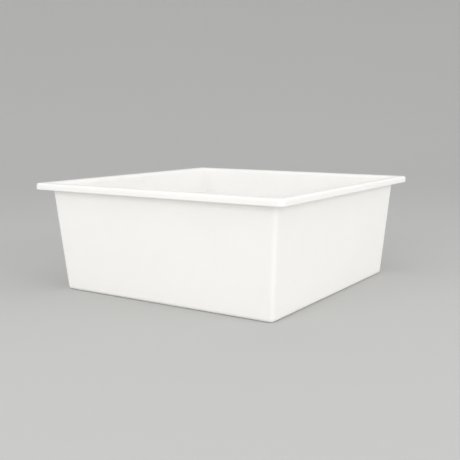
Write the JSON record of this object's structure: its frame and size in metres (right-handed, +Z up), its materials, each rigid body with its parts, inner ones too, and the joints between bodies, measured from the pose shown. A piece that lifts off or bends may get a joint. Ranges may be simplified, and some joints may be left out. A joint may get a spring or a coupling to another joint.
{
  "type": "mortar mixing tub",
  "caption": "Square open tub with leaning walls, a flat floor and a turned-down rim, moulded in one piece, for mixing and carrying mortar.",
  "frame": {"origin": "middle of the underside, on the surface the tub stands on", "axes": "+Z up through the open top; X and Y run square to the walls, and the four sides are alike"},
  "size_m": [0.79, 0.79, 0.305],
  "materials": {
    "white_polyethylene": "satin, slightly waxy moulded polyethylene"
  },
  "bodies": {
    "root": {"tub": "white_polyethylene"}
  },
  "joints": []
}
